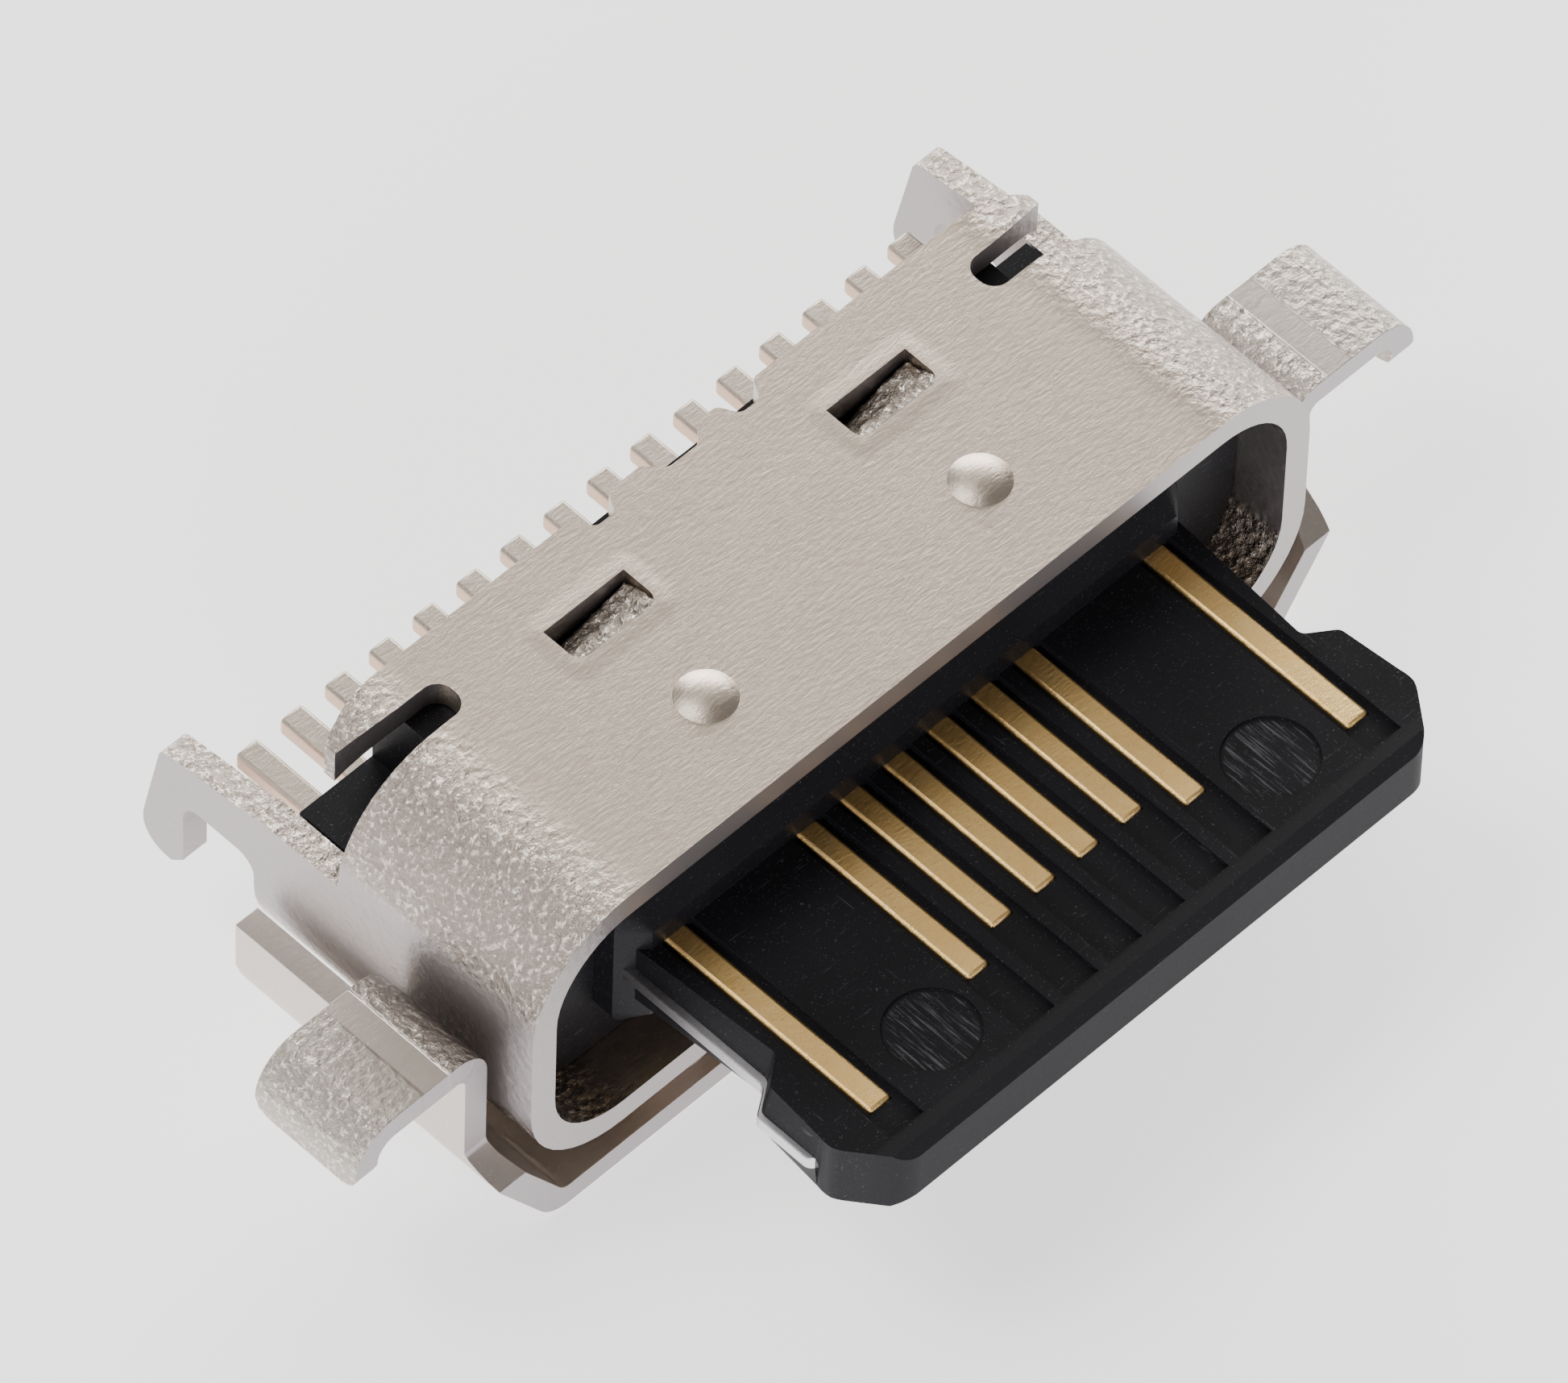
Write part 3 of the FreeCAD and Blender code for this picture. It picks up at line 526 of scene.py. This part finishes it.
def domeDimples(work):
    # swaps each flat-topped dimple for a rounded one on the same foot
    for side in (-1, 1):
        middle = Vector((dimples["across"] * side, dimples["along"]))

        def onDimple(corner):
            away = (corner.co.xy / mm - middle).length
            lowest = (dimples["level"] - dimples["levelSlack"]) * mm
            return away < dimples["radius"] + dimples["slack"] and corner.co.z > lowest

        def turnOf(corner):
            return math.atan2(corner.co.y / mm - middle.y, corner.co.x / mm - middle.x)

        plain = [face for face in work.faces if all(onDimple(corner) for corner in face.verts)]
        footTop = (dimples["level"] + dimples["levelSlack"]) * mm
        foot = {corner for face in plain for corner in face.verts if corner.co.z < footTop}
        outer = sorted(foot, key=turnOf)
        bmesh.ops.delete(work, geom=plain, context="FACES")
        ring = outer
        for step in range(1, dimples["rings"]):
            share = 1 - step / dimples["rings"]
            up = dimples["level"] + dimples["high"] * (1 - share ** 2) ** dimples["roundness"]
            inner = []
            for corner in outer:
                spot = middle + (corner.co.xy / mm - middle) * share
                inner.append(work.verts.new((spot.x * mm, spot.y * mm, up * mm)))
            for number in range(len(ring)):
                around = (ring[number - 1], ring[number], inner[number], inner[number - 1])
                work.faces.new(around).smooth = True
            ring = inner
        crown = work.verts.new((middle.x * mm, middle.y * mm, (dimples["level"] + dimples["high"]) * mm))
        for number in range(len(ring)):
            work.faces.new((ring[number - 1], ring[number], crown)).smooth = True


cleaning = {"merge": 0.0005, "flat": 0.5, "square": 0.99999}   # millimetres, degrees, cosine


def squareOn(face):
    # a flat face that looks straight along one axis
    return max(abs(part) for part in face.normal) > cleaning["square"]


def dressedCopy(node, material, edge):
    # merged copy of a CAD solid with its sharp edges broken, in place of the plain solid
    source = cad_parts[node]
    mesh = source.data.copy()
    mesh.name = node + "Dressed"
    work = bmesh.new()
    work.from_mesh(mesh)
    bmesh.ops.remove_doubles(work, verts=work.verts, dist=cleaning["merge"] * mm)
    flat = math.radians(cleaning["flat"])
    bmesh.ops.dissolve_limit(work, angle_limit=flat, verts=work.verts, edges=work.edges)
    if node == "inner_shell":
        pinchFingers(work)
        domeDimples(work)
    if node == "housing":
        leanTongueSides(work)
    work.normal_update()
    # only true corners are broken, not the cuts left inside a flat face
    weight = work.edges.layers.float.new("bevel_weight_edge")
    for side in work.edges:
        if len(side.link_faces) != 2:
            continue
        bend = math.degrees(side.calc_face_angle(0))
        if bend > edge["angle"]:
            side[weight] = 1
    if edge["flat"]:
        for face in work.faces:
            face.smooth = not squareOn(face)
    work.to_mesh(mesh)
    work.free()
    # the directions stored with the plain solid don't fit the edited faces
    stored = mesh.attributes.get("custom_normal")
    if stored:
        mesh.attributes.remove(stored)
    piece = bpy.data.objects.new(node + "Dressed", mesh)
    bpy.context.scene.collection.objects.link(piece)
    mesh.materials.clear()
    mesh.materials.append(material)
    bevel = piece.modifiers.new("brokenEdges", "BEVEL")
    bevel.width = edge["width"] * mm
    bevel.segments = edge["segments"]
    bevel.limit_method = "WEIGHT"
    if edge["flat"]:
        markSharp(piece, edge["shade"])
    else:
        smoothByAngle(piece, edge["shade"])
        weigh(piece)
    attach(piece, "root")
    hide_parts(node)
    return piece


# width of the broken edges in millimetres, and the angles that count as an edge and as a corner of shade
edges = {"inner_shell": {"width": 0.022, "segments": 2, "angle": 40, "shade": 24, "flat": False},
         "outer_bracket": {"width": 0.020, "segments": 2, "angle": 40, "shade": 35, "flat": False},
         "housing": {"width": 0.012, "segments": 1, "angle": 40, "shade": 26, "flat": True},
         "mid_plate": {"width": 0.010, "segments": 1, "angle": 40, "shade": 26, "flat": True}}
finishes = {"inner_shell": (shellSteel, "shell_steel"), "outer_bracket": (bracketSteel, "bracket_steel"),
            "housing": (blackMoulding, "black_moulding"), "mid_plate": (latchSteel, "latch_steel")}
for node, edge in edges.items():
    material, slotName = finishes[node]
    piece = dressedCopy(node, material, edge)
print("steel and moulding dressed")

# the torn tab that hangs in each window, bent down from the window's front edge, in millimetres
tabs = {"near": 1.19, "far": 2.05, "front": 1.90, "back": 2.31, "top": 1.562,
        "dropLow": 0.30, "dropHigh": 0.10, "slant": 1.5, "droop": 1.2,
        "sheet": 0.10, "columns": 40, "rows": 20, "shade": 50,
        "crumple": 0.035, "crumpleScale": 5, "crumpleKind": (0.6, 2.1, 4), "crumpleGrowth": 4,
        "layers": {True: 7.3, False: 1.7}}


def makeTab(name, mirrored):
    mesh = bpy.data.meshes.new(name)
    work = bmesh.new()
    grid = []
    for column in range(tabs["columns"] + 1):
        share = column / tabs["columns"]
        across = tabs["near"] + (tabs["far"] - tabs["near"]) * share
        if mirrored:
            across = -across
        lift = share if not mirrored else 1 - share
        drop = tabs["dropLow"] + (tabs["dropHigh"] - tabs["dropLow"]) * lift ** tabs["slant"]
        line = []
        for row in range(tabs["rows"] + 1):
            step = row / tabs["rows"]
            along = tabs["front"] + (tabs["back"] - tabs["front"]) * step
            scale = tabs["crumpleScale"]
            spot = Vector((across * scale, along * scale, tabs["layers"][mirrored]))
            crease = fractal(spot, *tabs["crumpleKind"]) * tabs["crumple"]
            up = tabs["top"] - drop * step ** tabs["droop"] + crease * min(1, step * tabs["crumpleGrowth"])
            line.append(work.verts.new((across * mm, along * mm, up * mm)))
        grid.append(line)
    for left, right in zip(grid, grid[1:]):
        for row in range(tabs["rows"]):
            work.faces.new((left[row], right[row], right[row + 1], left[row + 1]))
    bmesh.ops.recalc_face_normals(work, faces=work.faces)
    if work.faces[0].normal.z < 0:
        bmesh.ops.reverse_faces(work, faces=work.faces)
    work.to_mesh(mesh)
    work.free()
    tab = bpy.data.objects.new(name, mesh)
    bpy.context.scene.collection.objects.link(tab)
    mesh.materials.append(tornSteel)
    sheet = tab.modifiers.new("sheet", "SOLIDIFY")
    sheet.thickness = tabs["sheet"] * mm
    sheet.offset = -1
    smoothByAngle(tab, tabs["shade"])
    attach(tab, "root")


makeTab("leftTornTab", True)
makeTab("rightTornTab", False)
print("window tabs made")


# places are counted in pitches from the middle, the rest is in millimetres and degrees
terminals = {"pitch": 0.5, "places": (-5.5, -2.5, -1.5, -0.5, 0.5, 1.5, 2.5, 5.5),
             "ends": (-2.25, -1.87, -1.64, -1.64, -1.64, -1.64, -1.87, -2.25),
             "level": 0.23, "tailLevel": -0.20, "tailEnd": 4.07, "width": 0.246, "sheet": 0.20,
             "jogStart": 0.80, "jogEnd": 2.10, "dropStart": 2.35, "dropEnd": 2.80,
             "merge": 0.001, "edge": 0.034, "edgeSegments": 2, "edgeAngle": 50, "shade": 30}
# each row's side of the tongue, and the place of its first tail; its tails stand two pitches apart
rows = {"upper": {"side": 1, "firstTail": -7.5}, "lower": {"side": -1, "firstTail": -6.5}}


def makeTerminalTree():
    # one strip: contact, sideways jog, drop and tail, swept along its own path
    tree = bpy.data.node_groups.new("terminalStrip", "GeometryNodeTree")
    tree.interface.new_socket("Geometry", in_out="INPUT", socket_type="NodeSocketGeometry")
    names = ("Contact Place", "Contact End", "Contact Level", "Tail Place", "Tail End", "Tail Level",
             "Jog Start", "Jog End", "Drop Start", "Drop End", "Width", "Sheet")
    for name in names:
        tree.interface.new_socket(name, in_out="INPUT", socket_type="NodeSocketFloat")
    tree.interface.new_socket("Finish", in_out="INPUT", socket_type="NodeSocketMaterial")
    tree.interface.new_socket("Geometry", in_out="OUTPUT", socket_type="NodeSocketGeometry")
    start = tree.nodes.new("NodeGroupInput")
    end = tree.nodes.new("NodeGroupOutput")

    def spot(across, along, level):
        node = tree.nodes.new("ShaderNodeCombineXYZ")
        for axis, name in enumerate((across, along, level)):
            tree.links.new(start.outputs[name], node.inputs[axis])
        return node.outputs[0]

    corners = (("Contact Place", "Contact End", "Contact Level"),
               ("Contact Place", "Jog Start", "Contact Level"),
               ("Tail Place", "Jog End", "Contact Level"),
               ("Tail Place", "Drop Start", "Contact Level"),
               ("Tail Place", "Drop End", "Tail Level"),
               ("Tail Place", "Tail End", "Tail Level"))
    joined = tree.nodes.new("GeometryNodeJoinGeometry")
    for first, second in zip(corners, corners[1:]):
        line = tree.nodes.new("GeometryNodeMeshLine")
        line.mode = "END_POINTS"
        line.inputs["Count"].default_value = 2
        tree.links.new(spot(*first), line.inputs["Start Location"])
        tree.links.new(spot(*second), line.inputs["Offset"])
        tree.links.new(line.outputs["Mesh"], joined.inputs["Geometry"])
    merged = tree.nodes.new("GeometryNodeMergeByDistance")
    merged.inputs["Distance"].default_value = terminals["merge"] * mm
    curve = tree.nodes.new("GeometryNodeMeshToCurve")
    upright = tree.nodes.new("GeometryNodeSetCurveNormal")
    upright.mode = "Z_UP"
    profile = tree.nodes.new("GeometryNodeCurvePrimitiveQuadrilateral")
    tree.links.new(start.outputs["Width"], profile.inputs["Width"])
    tree.links.new(start.outputs["Sheet"], profile.inputs["Height"])
    sweep = tree.nodes.new("GeometryNodeCurveToMesh")
    sweep.inputs["Fill Caps"].default_value = True
    flat = tree.nodes.new("GeometryNodeSetShadeSmooth")
    flat.inputs["Shade Smooth"].default_value = False
    realize = tree.nodes.new("GeometryNodeRealizeInstances")
    finish = tree.nodes.new("GeometryNodeSetMaterial")
    tree.links.new(start.outputs["Finish"], finish.inputs["Material"])
    tree.links.new(joined.outputs["Geometry"], merged.inputs["Geometry"])
    tree.links.new(merged.outputs["Geometry"], curve.inputs["Mesh"])
    tree.links.new(curve.outputs["Curve"], upright.inputs["Curve"])
    tree.links.new(upright.outputs["Curve"], sweep.inputs["Curve"])
    tree.links.new(profile.outputs["Curve"], sweep.inputs["Profile Curve"])
    tree.links.new(sweep.outputs["Mesh"], flat.inputs["Geometry"])
    tree.links.new(flat.outputs["Geometry"], realize.inputs["Geometry"])
    tree.links.new(realize.outputs["Geometry"], finish.inputs["Geometry"])
    tree.links.new(finish.outputs["Geometry"], end.inputs["Geometry"])
    return tree


def bakeTree(name, tree, values):
    # runs the tree on an empty mesh and keeps the result as a plain piece
    seed = bpy.data.meshes.new(name + "Seed")
    holder = bpy.data.objects.new(name + "Holder", seed)
    bpy.context.scene.collection.objects.link(holder)
    modifier = holder.modifiers.new("nodes", "NODES")
    modifier.node_group = tree
    sockets = {item.name: item.identifier for item in tree.interface.items_tree if item.in_out == "INPUT"}
    for label, value in values.items():
        modifier[sockets[label]] = value
    bpy.context.view_layer.update()
    evaluated = holder.evaluated_get(bpy.context.evaluated_depsgraph_get())
    mesh = bpy.data.meshes.new_from_object(evaluated)
    mesh.name = name
    bpy.data.objects.remove(holder)
    bpy.data.meshes.remove(seed)
    piece = bpy.data.objects.new(name, mesh)
    bpy.context.scene.collection.objects.link(piece)
    return piece


terminalTree = makeTerminalTree()
for row, kind in rows.items():
    for number, (place, contactEnd) in enumerate(zip(terminals["places"], terminals["ends"])):
        node = f"{row}_contact_{number + 1}"
        lengths = {"Contact Place": terminals["pitch"] * place, "Contact End": contactEnd,
                   "Contact Level": kind["side"] * terminals["level"],
                   "Tail Place": terminals["pitch"] * (2 * number + kind["firstTail"]),
                   "Tail End": terminals["tailEnd"], "Tail Level": terminals["tailLevel"],
                   "Jog Start": terminals["jogStart"], "Jog End": terminals["jogEnd"],
                   "Drop Start": terminals["dropStart"], "Drop End": terminals["dropEnd"],
                   "Width": terminals["width"], "Sheet": terminals["sheet"]}
        values = {label: length * mm for label, length in lengths.items()}
        strip = bakeTree(node + "Strip", terminalTree, {**values, "Finish": plating})
        coined = strip.modifiers.new("coinedEdges", "BEVEL")
        coined.width = terminals["edge"] * mm
        coined.segments = terminals["edgeSegments"]
        coined.limit_method = "ANGLE"
        coined.angle_limit = math.radians(terminals["edgeAngle"])
        smoothByAngle(strip, terminals["shade"])
        weigh(strip)
        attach(strip, "root")
        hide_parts(node)
for node in ("upper_insert", "lower_insert"):
    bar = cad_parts[node]
    bar.data.materials.clear()
    bar.data.materials.append(blackMoulding)
print("terminals made")


# side of the floor in metres, its height in millimetres, just under the bracket's floor
stage = {"floor": 0.6, "restHeight": -2.16, "light": (0.93, 0.93, 0.94), "rough": 0.9,
         "glow": 1.25, "glowColour": (1, 1, 1)}


def makeFloor():
    mesh = bpy.data.meshes.new("paleFloor")
    half, level = stage["floor"] / 2, stage["restHeight"] * mm
    corners = [(-half, -half, level), (half, -half, level), (half, half, level), (-half, half, level)]
    mesh.from_pydata(corners, [], [(0, 1, 2, 3)])
    floor = bpy.data.objects.new("paleFloor", mesh)
    bpy.context.scene.collection.objects.link(floor)
    finish = startMaterial("paleFloor", Roughness=stage["rough"], Base_Color=(*stage["light"], 1),
                           Emission_Color=(*stage["glowColour"], 1), Emission_Strength=stage["glow"])
    mesh.materials.append(finish[0])


# lamps that look at the middle of the mouth: place and size in millimetres, power in watts
lamps = {"backSoftbox": {"place": (70, 75, 32), "size": (90, 34),
                         "watts": 0.15, "colour": (1.0, 0.98, 0.95)},
         "overheadSoftbox": {"place": (-40, 30, 85), "size": (44, 44),
                             "watts": 0.06, "colour": (1.0, 0.98, 0.95)},
         "skyPanel": {"place": (45, 42, 85), "size": (70, 70),
                      "watts": 0.009, "colour": (1.0, 0.95, 0.88)},
         "leftSoftbox": {"place": (-75, -65, 34), "size": (44, 20),
                         "watts": 0.06, "colour": (0.97, 0.93, 1.0)},
         "frontStrip": {"place": (20, -90, 12), "size": (50, 14),
                        "watts": 0.015, "colour": (0.98, 0.94, 1.0)}}
room = {"colour": (1.0, 0.95, 0.90), "strength": 0.24}


def addLamp(name, lamp):
    data = bpy.data.lights.new(name, "AREA")
    data.shape = "RECTANGLE"
    data.size, data.size_y = (value * mm for value in lamp["size"])
    data.energy = lamp["watts"]
    data.color = lamp["colour"]
    holder = bpy.data.objects.new(name, data)
    holder.location = [value * mm for value in lamp["place"]]
    holder.rotation_euler = (-Vector(lamp["place"])).to_track_quat("-Z", "Y").to_euler()
    bpy.context.scene.collection.objects.link(holder)


def lightRoom():
    world = bpy.data.worlds.new("softRoom")
    world.use_nodes = True
    background = world.node_tree.nodes["Background"]
    background.inputs["Color"].default_value = (*room["colour"], 1)
    background.inputs["Strength"].default_value = room["strength"]
    bpy.context.scene.world = world


makeFloor()
for name, lamp in lamps.items():
    addLamp(name, lamp)
lightRoom()
print("floor and lamps set")

# where the photograph was taken from: turns in degrees, shifts and distance in millimetres
view = {"turn": -46.52, "rise": 54.06, "roll": 2.16, "shiftRight": 1.5906, "shiftUp": -1.0252,
        "distance": 179.0, "lens": 504.9, "sensor": 36, "mouthFront": -0.64, "clip": (0.01, 5)}


def makeCamera():
    turn, rise, roll = (math.radians(view[name]) for name in ("turn", "rise", "roll"))
    right = Vector((math.cos(turn), math.sin(turn), 0))
    back = Vector((math.sin(turn) * math.cos(rise), -math.cos(turn) * math.cos(rise), math.sin(rise)))
    up = back.cross(right)
    across = right * math.cos(roll) + up * math.sin(roll)
    upright = up * math.cos(roll) - right * math.sin(roll)
    place = back * view["distance"] - across * view["shiftRight"] - upright * view["shiftUp"]
    place += Vector((0, view["mouthFront"], 0))
    data = bpy.data.cameras.new("photoCamera")
    data.lens = view["lens"]
    data.sensor_width = view["sensor"]
    data.clip_start, data.clip_end = view["clip"]      # metres
    camera = bpy.data.objects.new("photoCamera", data)
    turned = Matrix((across, upright, back)).transposed().to_4x4()
    camera.matrix_world = Matrix.Translation(place * mm) @ turned
    bpy.context.scene.collection.objects.link(camera)
    bpy.context.scene.camera = camera


makeCamera()
print("camera set")
